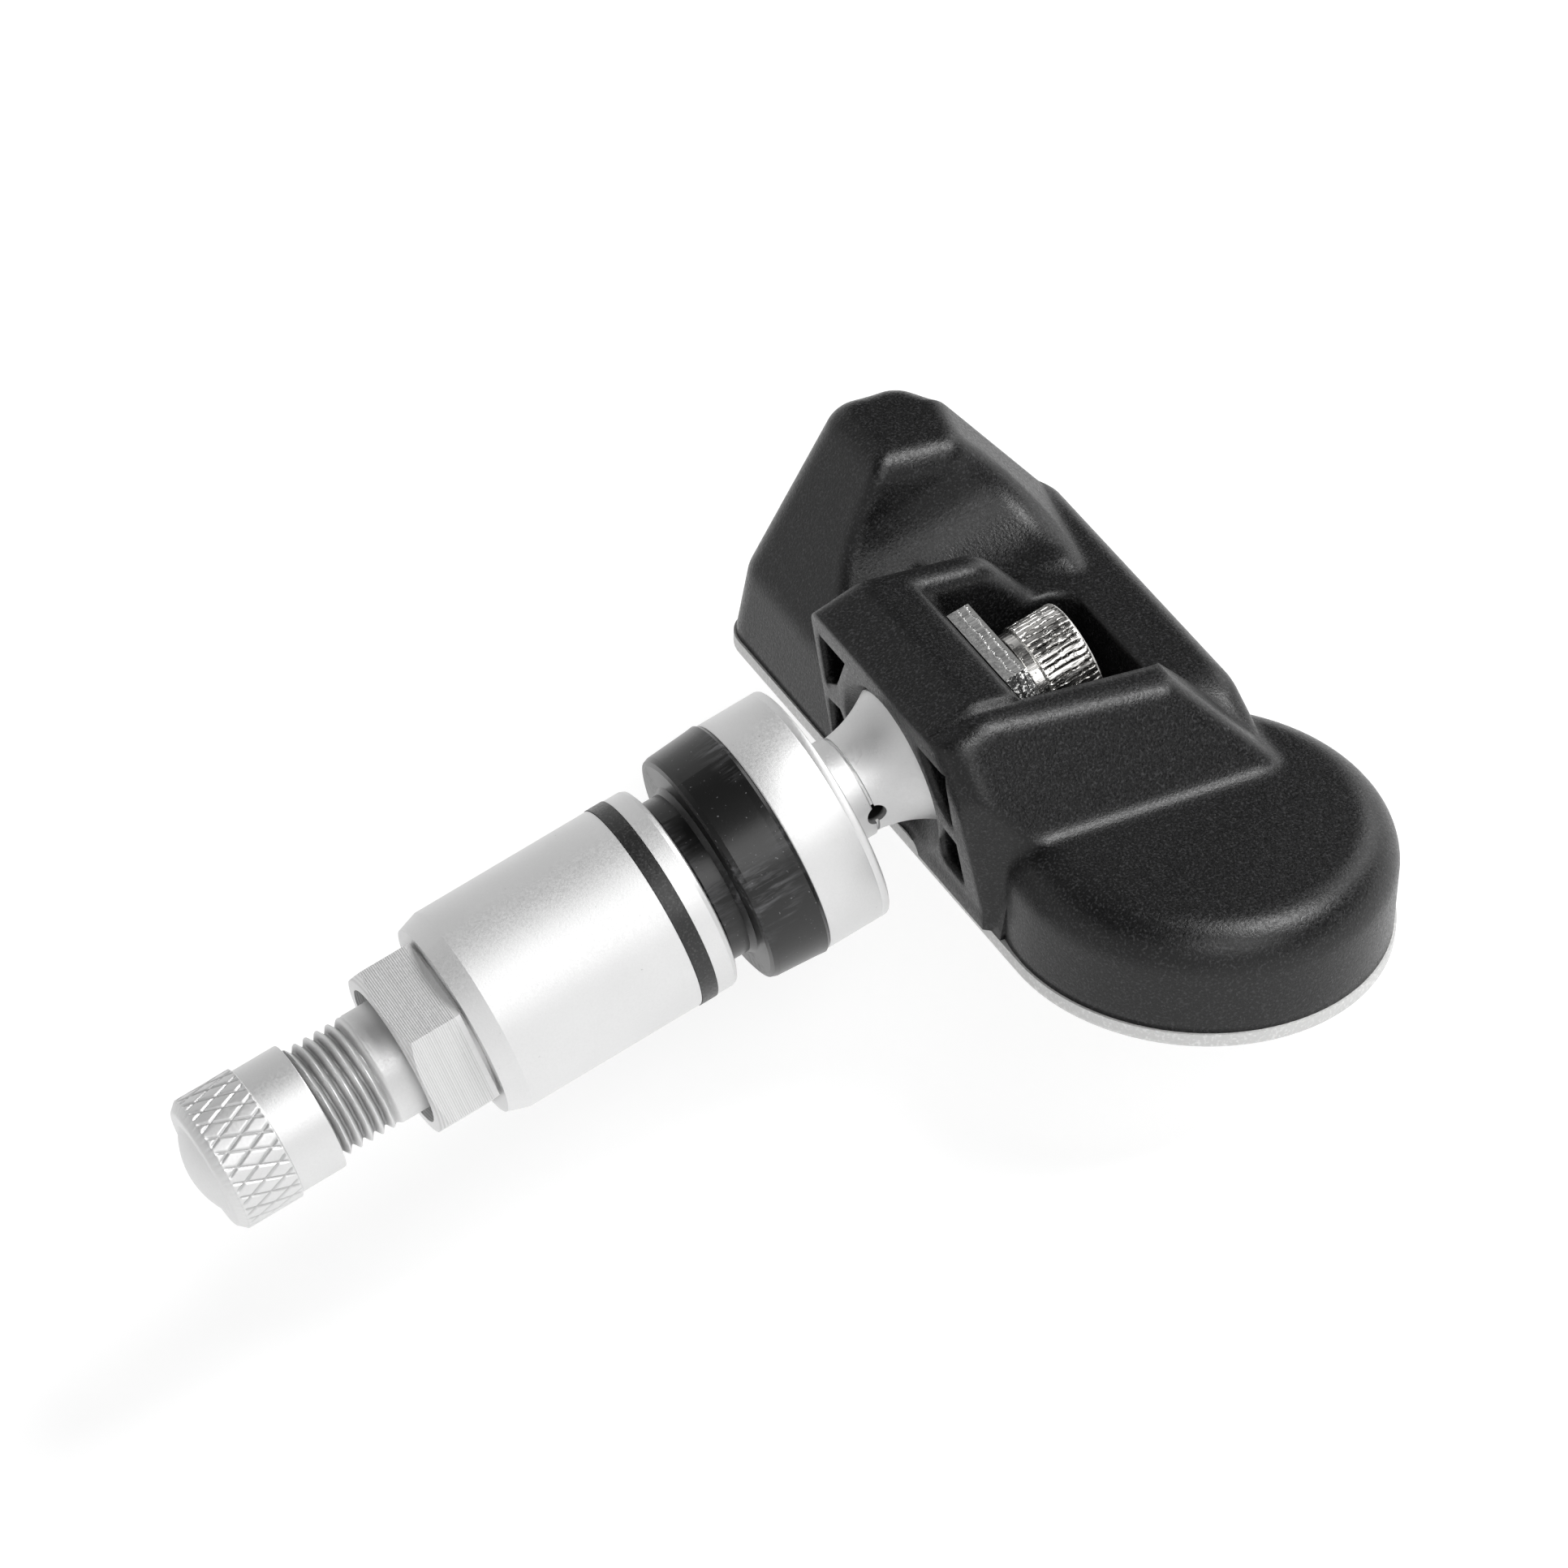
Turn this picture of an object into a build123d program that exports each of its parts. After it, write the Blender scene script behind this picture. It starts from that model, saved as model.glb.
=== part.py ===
import math
import os

from build123d import *

# Tyre pressure sensor on a clamp-in metal valve. Millimetres.
# The valve axis is X, outboard is +X, and X = 0 is the grommet face that seats inside the rim.

# Valve stem, one turned piece
disc_x0 = -8.55
disc_x1 = -4.09
disc_r = 8.13
disc_edge = 0.55
collar_r = 3.48
groove_x = -10.60
groove_w = 0.22
groove_r = 3.15
trumpet_r0 = 3.35
trumpet_mid = (-12.75, 3.80)
trumpet_end = (-14.50, 4.72)
foot_r = 4.72
pivot_x = -8.20
ball_r = 8.00
cross_hole_r = 0.70
nut_thread_r = 4.50
nut_thread_end = 20.50
shank_r = 3.85
stem_tip = 35.50
air_bore_r = 1.60
screw_hole_r = 2.05
screw_hole_end = -12.90

# Running clearances
thread_gap = 0.05
face_gap = 0.03
joint_gap = 0.05

# Rubber grommet
grommet_r0 = disc_r + 0.12
grommet_r1 = disc_r - 0.15
neck_r0 = 6.02
neck_r = 5.70
neck_len = 1.80

# Washer, slip ring and hex nut
washer_x0 = 1.95
washer_t = 1.60
ring_t = 1.15
sleeve_r = 7.05
ring_r = 7.10
sleeve_x0 = washer_x0 + washer_t + ring_t + 2 * face_gap
sleeve_x1 = 18.72
sleeve_chamfer_x = 1.42
sleeve_chamfer_r = 0.46
hex_flats = 11.00
hex_x1 = 23.05
hex_turn = 48.0
undercut_w = 0.28
undercut_r = 5.25
counterbore_r = 4.78
counterbore_x = 20.00

# Valve cap
cap_x0 = 29.15
cap_skirt_r = shank_r + 0.52
cap_knurl_x0 = 32.35
cap_knurl_r = cap_skirt_r + 0.23
cap_knurl_x1 = 36.30
cap_face_x = 36.90
cap_face_r = cap_knurl_r - 0.55
cap_dome_r = cap_face_r - 0.95
cap_tip = 37.85
seal_t = 0.70

# Valve core
core_bore_r = 2.65
core_bore_x = 29.80
core_cone_x = 28.60
core_low_r = 1.95
core_low_x = 19.00
plug_x1 = 34.60
plug_head_x = 30.20
plug_x0 = 23.00
pin_r = 0.50
pin_tip = 35.30
pin_foot_x = 21.40
pin_foot_t = 0.45
pin_foot_r = 1.25
pin_collar_x = 32.05
pin_collar_t = 0.40
pin_collar_r = 1.15
spring_wire_r = 0.16
spring_mean_r = 0.95
spring_turns = 7

# Clamp plate and clamp screw
plate_x = -21.40
plate_t = 1.60
plate_top = 4.90
plate_bottom = -3.10
plate_flat = 3.70
plate_half = 4.90
plate_hole_r = 2.25
screw_r = 2.00
screw_collar_r = 3.00
screw_band_r = 3.32
screw_head_r = 3.50
screw_band_x = -23.60
screw_knurl_x = -24.45
screw_end = -27.80
socket_flats = 3.00
socket_depth = 2.30

# Housing: its own frame has x outboard, y to the low lobe, z square to the base
base_tilt = 18.0
base_origin = (-12.33, 0.0, -7.32)
cover_t = 1.20
cover_proud = 0.15
cover_edge = 0.45
front_x = -0.45
front_knee = (-1.10, 6.40)
front_lean = 27.1
knee_round = 3.0
left_y = -24.70
left_lean = 2.5
rear_x = -20.90
corner_round = 2.6

# Low round lobe over the coin cell, and the waist that joins it to the rear wall
cell_r = 10.00
cell_gap = 0.35
lobe_wall = 2.35
lobe_c = (-13.30, 14.40)
lobe_r = cell_r + cell_gap + lobe_wall
lobe_top = 8.55
lobe_round = 3.00
waist_y = -2.0
waist_round = 5.0

# Level deck and the tower on its end, with sloped faces to the rear and to the far corner
mid_z = 11.30
deck_y = 5.80
deck_fall = 6.40
deck_round = 1.60
deck_bend = 6.0
tower_top = 17.60
ridge_x = -12.40
ridge_y = -15.20
tower_y = -6.50
rear_slope = (-0.668, 0.138, 0.732)
corner_at = (-13.90, left_y + 4.00)
corner_slope = (-0.760, -0.509, 0.408)
tower_round = 2.0
hip_round = 1.2

# Coved scoop in the tower's flank, (y, z) of its line at the front; it rises towards the rear
scoop_top = (-17.00, 20.00)
scoop_wall = (-15.20, 12.00)
scoop_cove = (-12.60, 8.30)
scoop_floor = (-8.90, 7.00)
scoop_run = (-6.00, 5.70)
scoop_end = -7.90
scoop_rear = -16.00
scoop_rise = 0.30
scoop_edge = 0.8

# Valve block, the longer cheek beside it and the screw pocket
block_y = 8.90
block_front = [(0.0, cover_t), (0.0, 2.4), (2.2, 14.0)]
block_back = [(-1.1, 15.4), (-9.6, 14.9), (-13.4, 11.0), (-13.4, cover_t)]
block_ridge = 2.5
block_brow = 3.0
block_heel = 0.6
ear_round = 1.2
ear_lip = 1.2
cheek_back = [(-1.1, 15.0), (-14.6, 14.2), (-20.6, 8.5), (-20.6, cover_t)]
cheek_brow = 2.4
cheek_end = 14.40
cheek_ridge = (8.30, 14.40)
cheek_foot = (12.60, 8.55)
cheek_edge = 1.8
cheek_toe = 1.5
cheek_nose = [(2.5, 8.8), (-3.4, 13.45)]
pocket_y = 6.20
pocket_floor = 4.80
pocket_rear = -15.60
pocket_round = 1.6
pocket_skin = 0.50
pocket_lip = 0.80
wall_r = 14.00
slot_half = 2.30
slot_up = 0.45
slot_down = -2.10
rib_upper = [(8.1, 12.2), (4.7, 12.2), (6.6, 8.9), (8.2, 7.9)]
rib_lower = [(8.3, 6.6), (6.7, 6.8), (5.8, 5.1), (6.0, 3.6), (8.6, 3.4)]
rib_depth = -2.60

# Rooms inside the housing: (x0, x1, y0, y1) and their ceilings
room_a = (-15.2, -2.9, -22.4, -9.6)
room_b = (-19.2, -6.6, -9.7, 8.5)
shaft = (-12.4, -7.4, -21.4, -17.6)
room_a_top = 4.90
room_b_top = 4.00
shaft_top = 15.20
cell_room_r = cell_r + cell_gap
cell_room_top = 7.20
pad_gap = 0.20
pad_z0 = 0.50

# Electronics
board_z = 2.30
board_t = 1.00
board_gap = 0.40
cell_c = (lobe_c[0], lobe_c[1] + 0.80)
cell_t = 3.20
cell_lift = 0.33
can_t = 0.25
cell_gasket_t = 0.50
lead_t = 0.20
tab_half = 1.50
tab_gap = 0.40
tab_reach = cell_r + tab_gap
tab_upper_y0 = 0.19 * cell_r
tab_lower_y0 = -0.91 * cell_r
tab_lower_y1 = -0.21 * cell_r
tab_room = 0.30
chip_size = (5.0, 5.0, 1.10)
port_c = (-8.00, -12.50)
port_r = 0.45
port_seal_r = 1.50
coil_r = 1.05
coil_top = 11.40
winding_r = 1.70
winding_z = (5.00, 10.40)
aerial_gap = 0.30
aerial_z = 12.40
aerial_t = 0.30
aerial_leg = 1.60
crystal_at = (-12.70, -13.15)
crystal_size = (3.0, 2.5, 0.80)
capacitor_at = (-4.45, -13.20)
capacitor_size = (1.1, 2.0, 0.95)
radio_at = (-5.40, -18.40)
radio_size = (2.4, 2.4, 0.75)


def turned(points):
    """A solid of revolution about the valve axis from (x, radius) corners."""
    wire = Polyline(*[(x, 0, r) for x, r in points], close=True)
    return revolve(make_face(wire), Axis.X, 360)


def turned_arcs(start, steps):
    """A solid of revolution from (x, radius) corners; a pair of points is an arc by way of the first."""
    edges = []
    at = Vector(start[0], 0, start[1])
    for step in steps:
        if isinstance(step[0], tuple):
            mid = Vector(step[0][0], 0, step[0][1])
            end = Vector(step[1][0], 0, step[1][1])
            edges.append(Edge.make_three_point_arc(at, mid, end))
        else:
            end = Vector(step[0], 0, step[1])
            edges.append(Edge.make_line(at, end))
        at = end
    edges.append(Edge.make_line(at, Vector(start[0], 0, start[1])))
    return revolve(Face(Wire(edges)), Axis.X, 360)


def rod(x0, x1, r):
    """A round bar along the valve axis."""
    return Pos((x0 + x1) / 2, 0, 0) * Rot(0, 90, 0) * Cylinder(r, x1 - x0)


def box(x0, x1, y0, y1, z0, z1):
    """A block between two corners."""
    return Pos((x0 + x1) / 2, (y0 + y1) / 2, (z0 + z1) / 2) * Box(x1 - x0, y1 - y0, z1 - z0)


def along_y(points, y0, y1):
    """A prism along y from (x, z) corners."""
    face = make_face(Polyline(*[(x, y0, z) for x, z in points], close=True))
    return extrude(face, y1 - y0, dir=(0, 1, 0))


def along_x(points, x0, x1):
    """A prism along x from (y, z) corners."""
    face = make_face(Polyline(*[(x0, y, z) for y, z in points], close=True))
    return extrude(face, x1 - x0, dir=(1, 0, 0))


def upright(points, z0, z1):
    """A prism square to the base from (x, y) corners."""
    face = make_face(Polyline(*[(x, y, z0) for x, y in points], close=True))
    return extrude(face, z1 - z0, dir=(0, 0, 1))


def disc(c, r, z0, z1):
    """A round plate square to the base."""
    return Pos(c[0], c[1], (z0 + z1) / 2) * Cylinder(r, z1 - z0)


def pick(shape, *spots):
    """The edges that pass closest to the given spots."""
    chosen = []
    for spot in spots:
        at = Vector(*spot)
        chosen.append(min(shape.edges(), key=lambda e: e.distance_to(at)))
    return ShapeList(chosen)


def tan(deg):
    return math.tan(math.radians(deg))


def beyond(wall):
    """The space past a flat wall, given as a point on it and its outward direction."""
    return extrude(Plane(origin=wall[0], z_dir=wall[1]) * Rectangle(160, 160), 60)


def reach(wall, x, y, z):
    """The wall's outward direction times a spot's offset from it."""
    p, n = wall
    return n[0] * (x - p[0]) + n[1] * (y - p[1]) + n[2] * (z - p[2])


def between(a, b, part):
    """The spot part of the way from a to b."""
    return tuple(p + part * (q - p) for p, q in zip(a, b))


def on_scoop(wall, y, z):
    """Where the scoop's ruling that starts at (y, z) meets a wall."""
    out = wall[1]
    x = -reach(wall, 0, y, z) / (out[0] - scoop_rise * out[2])
    return (x, y, z - scoop_rise * x)


def meet(one, two, z):
    """The spot where two walls cross at a height."""
    r1 = -reach(one, 0, 0, z)
    r2 = -reach(two, 0, 0, z)
    n1, n2 = one[1], two[1]
    det = n1[0] * n2[1] - n1[1] * n2[0]
    return ((r1 * n2[1] - r2 * n1[1]) / det, (n1[0] * r2 - n2[0] * r1) / det, z)


def on_board(at, size):
    """A small part standing on the board."""
    return box(
        at[0] - size[0] / 2, at[0] + size[0] / 2, at[1] - size[1] / 2, at[1] + size[1] / 2,
        board_top, board_top + size[2],
    )


def floor_plan(gap, r, z0, z1):
    """A slab that follows the rooms at a gap from their walls, with a round end under the cell."""
    x0, x1, y0, y1 = room_a
    u0, u1, v0, v1 = room_b
    slab = box(x0 + gap, x1 - gap, y0 + gap, y1 - gap, z0, z1)
    slab = slab + box(x0 + gap, u1 - gap, y1 - 2 * gap, v0 + 2 * gap, z0, z1)
    slab = slab + box(u0 + gap, u1 - gap, v0 + gap, v1, z0, z1)
    return slab + disc(cell_c, r, z0, z1)


housing_place = Pos(*base_origin) * Rot(0, -base_tilt, 0)


def to_housing(shape):
    """A shape given in the valve frame, moved into the housing's own frame."""
    return housing_place.inverse() * shape


# Valve stem
foot_x = pivot_x - math.sqrt(ball_r ** 2 - foot_r ** 2)
hole_x = pivot_x - math.sqrt(ball_r ** 2 - screw_hole_r ** 2)
valve_stem = turned_arcs((hole_x, 0), [
    (hole_x, screw_hole_r),
    ((pivot_x - math.sqrt(ball_r ** 2 - 3.7 ** 2), 3.7), (foot_x, foot_r)),
    trumpet_end,
    (trumpet_mid, (groove_x - groove_w, trumpet_r0)),
    (groove_x - groove_w, groove_r),
    (groove_x, groove_r),
    (groove_x, collar_r),
    (disc_x0, collar_r),
    (disc_x0, disc_r - disc_edge),
    ((disc_x0 + disc_edge * 0.293, disc_r - disc_edge * 0.293), (disc_x0 + disc_edge, disc_r)),
    (disc_x1, disc_r),
    (disc_x1, nut_thread_r),
    (nut_thread_end - 0.5, nut_thread_r),
    (nut_thread_end, shank_r),
    (stem_tip - 0.4, shank_r),
    (stem_tip, shank_r - 0.4),
    (stem_tip, 0),
])
core_room = turned([
    (stem_tip + 1, 0),
    (stem_tip + 1, core_bore_r),
    (core_bore_x, core_bore_r),
    (core_cone_x, core_low_r),
    (core_low_x, core_low_r),
    (core_low_x - 0.4, air_bore_r),
    (groove_x - 0.9, air_bore_r),
    (groove_x - 1.3, 0),
])
screw_room = turned([
    (hole_x - 1, 0),
    (hole_x - 1, screw_hole_r),
    (screw_hole_end, screw_hole_r),
    (screw_hole_end + 0.3, 0),
])
cross_hole = Pos(groove_x - 0.15, 0, 0) * Rot(90, 0, 0) * Cylinder(cross_hole_r, 12)
valve_stem = valve_stem - core_room - screw_room - cross_hole

# Valve core
valve_core_plug = turned([
    (plug_x0, 0.85),
    (plug_x0, 1.60),
    (plug_x0 + 0.3, 1.85),
    (core_cone_x - 0.1, 1.85),
    (core_cone_x - 0.1, 1.50),
    (plug_head_x, 1.50),
    (plug_head_x, core_bore_r - joint_gap),
    (plug_x1 - 1.4, core_bore_r - joint_gap),
    (plug_x1 - 1.4, 1.70),
    (plug_x1, 1.70),
    (plug_x1, 0.85),
    (plug_x1 - 1.6, 0.85),
    (plug_x1 - 1.6, 1.32),
    (plug_x0 + 0.6, 1.32),
    (plug_x0 + 0.6, 0.85),
])
core_gasket = turned([
    (core_cone_x, 1.50 + joint_gap),
    (core_cone_x, core_low_r - joint_gap),
    (core_bore_x, core_bore_r - 2 * joint_gap),
    (plug_head_x - 0.03, core_bore_r - 2 * joint_gap),
    (plug_head_x - 0.03, 1.50 + joint_gap),
])
core_pin = turned([
    (pin_foot_x, 0),
    (pin_foot_x, pin_foot_r),
    (pin_foot_x + pin_foot_t, pin_foot_r),
    (pin_foot_x + pin_foot_t, pin_r),
    (pin_collar_x, pin_r),
    (pin_collar_x, pin_collar_r),
    (pin_collar_x + pin_collar_t, pin_collar_r),
    (pin_collar_x + pin_collar_t, pin_r),
    (pin_tip - 0.45, pin_r),
    (pin_tip - 0.45, 0.75),
    (pin_tip - 0.1, 0.75),
    (pin_tip, 0.60),
    (pin_tip, 0),
])
cup_x0 = pin_foot_x + pin_foot_t + face_gap
cup_r = pin_foot_r + 0.25
core_cup = turned([
    (cup_x0, pin_r + face_gap),
    (cup_x0, cup_r),
    (plug_x0 - 0.4, cup_r),
    (plug_x0 - joint_gap, pin_foot_r),
    (plug_x0 - joint_gap, pin_r + face_gap),
])
spring_x0 = plug_x0 + 0.6 + spring_wire_r + 0.04
spring_x1 = pin_collar_x - spring_wire_r - 0.04
spring_path = Helix((spring_x1 - spring_x0) / spring_turns, spring_x1 - spring_x0, spring_mean_r)
spring_face = Plane(origin=spring_path @ 0, z_dir=spring_path % 0) * Circle(spring_wire_r)
core_spring = sweep(spring_face, path=spring_path)
core_spring = Pos(spring_x0, 0, 0) * Rot(0, 90, 0) * core_spring

# Valve cap and its seal
dome_h = cap_tip - cap_face_x
dome_sphere_r = (cap_dome_r ** 2 + dome_h ** 2) / (2 * dome_h)
dome_half_x = cap_tip - dome_sphere_r + math.sqrt(dome_sphere_r ** 2 - (cap_dome_r / 2) ** 2)
valve_cap = turned_arcs((cap_x0, 0), [
    (cap_x0, cap_skirt_r - 0.12),
    (cap_x0 + 0.15, cap_skirt_r),
    (cap_knurl_x0, cap_skirt_r),
    (cap_knurl_x0 + 0.12, cap_knurl_r),
    (cap_knurl_x1, cap_knurl_r),
    (cap_face_x, cap_face_r),
    (cap_face_x, cap_dome_r),
    ((dome_half_x, cap_dome_r / 2), (cap_tip, 0)),
])
cap_floor = stem_tip + joint_gap + seal_t + face_gap
valve_cap = valve_cap - turned([
    (cap_x0 - 1, 0),
    (cap_x0 - 1, shank_r + 0.35),
    (cap_x0, shank_r + 0.35),
    (cap_x0 + 0.3, shank_r + thread_gap),
    (cap_floor, shank_r + thread_gap),
    (cap_floor, 0),
])
cap_seal = turned([
    (stem_tip + joint_gap, 1.10),
    (stem_tip + joint_gap, shank_r),
    (stem_tip + joint_gap + seal_t, shank_r),
    (stem_tip + joint_gap + seal_t, 1.10),
])

# Rubber grommet
rim_grommet = turned([
    (disc_x1 + face_gap, nut_thread_r + thread_gap),
    (disc_x1 + face_gap, grommet_r0 - 0.15),
    (disc_x1 + 0.25, grommet_r0),
    (disc_x1 + 0.75, grommet_r0 - 0.06),
    (-0.45, grommet_r1),
    (-0.12, grommet_r1 - 0.12),
    (0.0, grommet_r1 - 0.45),
    (0.0, neck_r0),
    (0.35, neck_r),
    (neck_len - 0.15, neck_r),
    (neck_len, neck_r - 0.15),
    (neck_len, nut_thread_r + thread_gap),
])

# Pressure washer and slip ring
pressure_washer = turned([
    (washer_x0, nut_thread_r + 0.15),
    (washer_x0, sleeve_r - 0.40),
    (washer_x0 + 0.12, sleeve_r - 0.12),
    (washer_x0 + 0.40, sleeve_r),
    (washer_x0 + washer_t, sleeve_r),
    (washer_x0 + washer_t, nut_thread_r + 0.15),
])
slip_x0 = washer_x0 + washer_t + face_gap
slip_ring = turned([
    (slip_x0, nut_thread_r + 0.15),
    (slip_x0, ring_r),
    (slip_x0 + ring_t, ring_r),
    (slip_x0 + ring_t, nut_thread_r + 0.15),
])

# Hex nut with its long sleeve, one piece
sleeve = turned([
    (sleeve_x0, 0),
    (sleeve_x0, sleeve_r),
    (sleeve_x1 - sleeve_chamfer_x, sleeve_r),
    (sleeve_x1, sleeve_r - sleeve_chamfer_r),
    (sleeve_x1, undercut_r),
    (sleeve_x1 + undercut_w, undercut_r),
    (sleeve_x1 + undercut_w, 0),
])
hex_x0 = sleeve_x1 + undercut_w
hex_plane = Plane(origin=(hex_x0, 0, 0), x_dir=(0, 1, 0), z_dir=(1, 0, 0))
hex_face = hex_plane * Rot(0, 0, hex_turn) * RegularPolygon(hex_flats / 2, 6, major_radius=False)
hex_bar = extrude(hex_face, hex_x1 - hex_x0)
corner_r = hex_flats / math.sqrt(3)
hex_round = turned([
    (sleeve_x1, 0),
    (sleeve_x1, corner_r + 0.2),
    (hex_x1 - 0.62, corner_r + 0.2),
    (hex_x1, hex_flats / 2 - 0.06),
    (hex_x1, 0),
])
hex_nut = sleeve + (hex_bar & hex_round)
hex_nut = hex_nut - turned([
    (sleeve_x0 - 1, 0),
    (sleeve_x0 - 1, nut_thread_r + thread_gap),
    (counterbore_x, nut_thread_r + thread_gap),
    (counterbore_x, counterbore_r),
    (hex_x1 + 1, counterbore_r),
    (hex_x1 + 1, 0),
])

# Clamp plate: stamped steel, hollowed to ride on the round wall
plate_face = make_face(Polyline(
    (plate_x, -plate_flat, plate_top),
    (plate_x, plate_flat, plate_top),
    (plate_x, plate_half, plate_top - 1.5),
    (plate_x, plate_half, plate_bottom),
    (plate_x, -plate_half, plate_bottom),
    (plate_x, -plate_half, plate_top - 1.5),
    close=True,
))
clamp_plate = extrude(plate_face, plate_t, dir=(-1, 0, 0))
plate_round = Pos(pivot_x, 0, 0) * Rot(90, 0, 0) * Cylinder(wall_r + joint_gap, 40)
clamp_plate = clamp_plate - plate_round - rod(plate_x - 5, plate_x + 5, plate_hole_r)

# Clamp screw
plate_back = plate_x - plate_t
clamp_screw = turned([
    (screw_end, 0),
    (screw_end, screw_head_r - 0.30),
    (screw_end + 0.30, screw_head_r),
    (screw_knurl_x, screw_head_r),
    (screw_knurl_x + 0.12, screw_band_r),
    (screw_band_x, screw_band_r),
    (screw_band_x, screw_collar_r),
    (plate_back - face_gap, screw_collar_r),
    (plate_back - face_gap, screw_r),
    (screw_hole_end - 0.9, screw_r),
    (screw_hole_end - 0.5, screw_r - 0.4),
    (screw_hole_end - 0.5, 0),
])
socket_plane = Plane(origin=(screw_end, 0, 0), z_dir=(1, 0, 0))
socket = extrude(socket_plane * RegularPolygon(socket_flats / 2, 6, major_radius=False), socket_depth)
clamp_screw = clamp_screw - socket


# Housing outline on the base, with a soft waist between the rear wall and the lobe
waist = make_face(Polyline(
    (lobe_c[0], waist_y, 0),
    (rear_x, waist_y, 0),
    (rear_x, lobe_c[1], 0),
    (lobe_c[0], lobe_c[1], 0),
    close=True,
))
lobe_plan = waist + Pos(lobe_c[0], lobe_c[1], 0) * Circle(lobe_r)
waist_spot = Vector(rear_x, lobe_c[1] - math.sqrt(lobe_r ** 2 - (rear_x - lobe_c[0]) ** 2), 0)
lobe_plan = fillet(lobe_plan.vertices().sort_by_distance(waist_spot)[0], waist_round)
outline = make_face(Polyline(
    (lobe_c[0] + lobe_r, lobe_c[1], 0),
    (front_x, left_y, 0),
    (rear_x, left_y, 0),
    (rear_x, waist_y + 1, 0),
    (lobe_c[0], lobe_c[1], 0),
    close=True,
))
outline = outline + lobe_plan
outline = fillet([v for v in outline.vertices() if v.Y < left_y + 0.5], corner_round)

# Walls of the deck and tower, each as a spot and an outward direction
rise = tower_top - mid_z
front_low = ((front_x, 0, cover_t), (front_knee[1] - cover_t, 0, front_x - front_knee[0]))
front_high = ((front_knee[0], 0, front_knee[1]), (1, 0, tan(front_lean)))
left_wall = ((0, left_y, cover_t), (0, -1, tan(left_lean)))
rear_hip = ((ridge_x, ridge_y, tower_top), rear_slope)
corner_hip = ((corner_at[0], corner_at[1], tower_top), corner_slope)

# Main body: a level deck with the tall tower at its end
deck = along_x([
    (left_y, cover_t),
    (left_y, mid_z),
    (deck_y, mid_z),
    (deck_y + deck_fall, lobe_top - 0.5),
    (deck_y + deck_fall, cover_t),
], rear_x, front_x)
deck_mid = (rear_x, deck_y + deck_fall / 2, (mid_z + lobe_top - 0.5) / 2)
deck = fillet(pick(deck, (rear_x, 0, mid_z), deck_mid), deck_round)
tower = box(rear_x, front_x, left_y, tower_y, mid_z - 3, tower_top) - beyond(rear_hip)
sky = tower_top + 20
scoop_line = Wire([
    Edge.make_line((0, *scoop_top), (0, *scoop_wall)),
    Edge.make_three_point_arc((0, *scoop_wall), (0, *scoop_cove), (0, *scoop_floor)),
    Edge.make_line((0, *scoop_floor), (0, *scoop_run)),
    Edge.make_line((0, *scoop_run), (0, scoop_run[0], sky)),
    Edge.make_line((0, scoop_run[0], sky), (0, scoop_top[0], sky)),
    Edge.make_line((0, scoop_top[0], sky), (0, *scoop_top)),
])
scoop_x = front_x + 4
scoop_face = Pos(scoop_x, 0, -scoop_x * scoop_rise) * Face(scoop_line)
scoop = extrude(scoop_face, scoop_x - 2 * rear_x, dir=(-1, 0, scoop_rise))
low_scoop = box(scoop_rear, scoop_x, left_y, -block_y, 0, sky)
low_scoop = low_scoop + box(block_back[1][0], scoop_x, left_y, scoop_end, 0, sky)
low_scoop = scoop & low_scoop
body = (deck - low_scoop) + (tower - scoop)
for wall in (front_low, front_high, left_wall, corner_hip):
    body = body - beyond(wall)
mid_tower = mid_z + rise / 2
body = fillet(pick(body, meet(rear_hip, corner_hip, mid_tower)), hip_round)
body = fillet(pick(
    body,
    meet(front_high, left_wall, (front_knee[1] + tower_top) / 2),
    meet(front_low, left_wall, (cover_t + front_knee[1]) / 2),
    meet(corner_hip, left_wall, mid_z),
), corner_round)
high_wall = between(scoop_wall, scoop_top, 0.12)
high_run = between(scoop_floor, scoop_run, 0.37)
hip = [on_scoop(rear_hip, *spot) for spot in (high_wall, scoop_cove, high_run)]
body = fillet(pick(body, *hip), tower_round)
body = fillet([e for e in body.edges() if e.bounding_box().min.Z > tower_top - 0.01], tower_round)
body = fillet(pick(body, (front_knee[0], 0, front_knee[1])), knee_round)
body = fillet(pick(body, *[on_scoop(front_high, *spot) for spot in (high_wall, scoop_cove)]), scoop_edge)
body = fillet(pick(body, ((rear_x + front_x) / 2, deck_y, mid_z)), deck_bend)

# Low round lobe with its soft shoulder
lobe = Pos(0, 0, cover_t) * extrude(lobe_plan, lobe_top - cover_t)
shoulder = [e for e in lobe.edges().group_by(Axis.Z)[-1] if e.center().X < rear_x + 0.1 or e.length > lobe_r]
lobe = fillet(shoulder, lobe_round)

# Valve block: front wall, left ear and the longer right cheek with its sloped side
block = along_y(block_front + block_back, -block_y, pocket_y)
block = fillet(pick(block, (block_back[0][0], 0, block_back[0][1])), block_ridge)
block = fillet(pick(block, (block_back[1][0], 0, block_back[1][1])), block_brow)
block = fillet(pick(block, (block_back[2][0], 0, block_back[2][1])), block_heel)
ear = [e for e in block.edges().group_by(Axis.Y)[0] if e.bounding_box().min.Z > mid_z - 1]
block = fillet(ear, ear_round)
cheek = along_y(block_front + cheek_back, pocket_y - 0.2, cheek_end)
cheek = fillet(pick(cheek, (cheek_back[0][0], cheek_end, cheek_back[0][1])), block_ridge)
cheek = fillet(pick(cheek, (cheek_back[1][0], cheek_end, cheek_back[1][1])), cheek_brow)
side_fall = cheek_ridge[1] - cheek_foot[1]
side_run = cheek_foot[0] - cheek_ridge[0]
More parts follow.
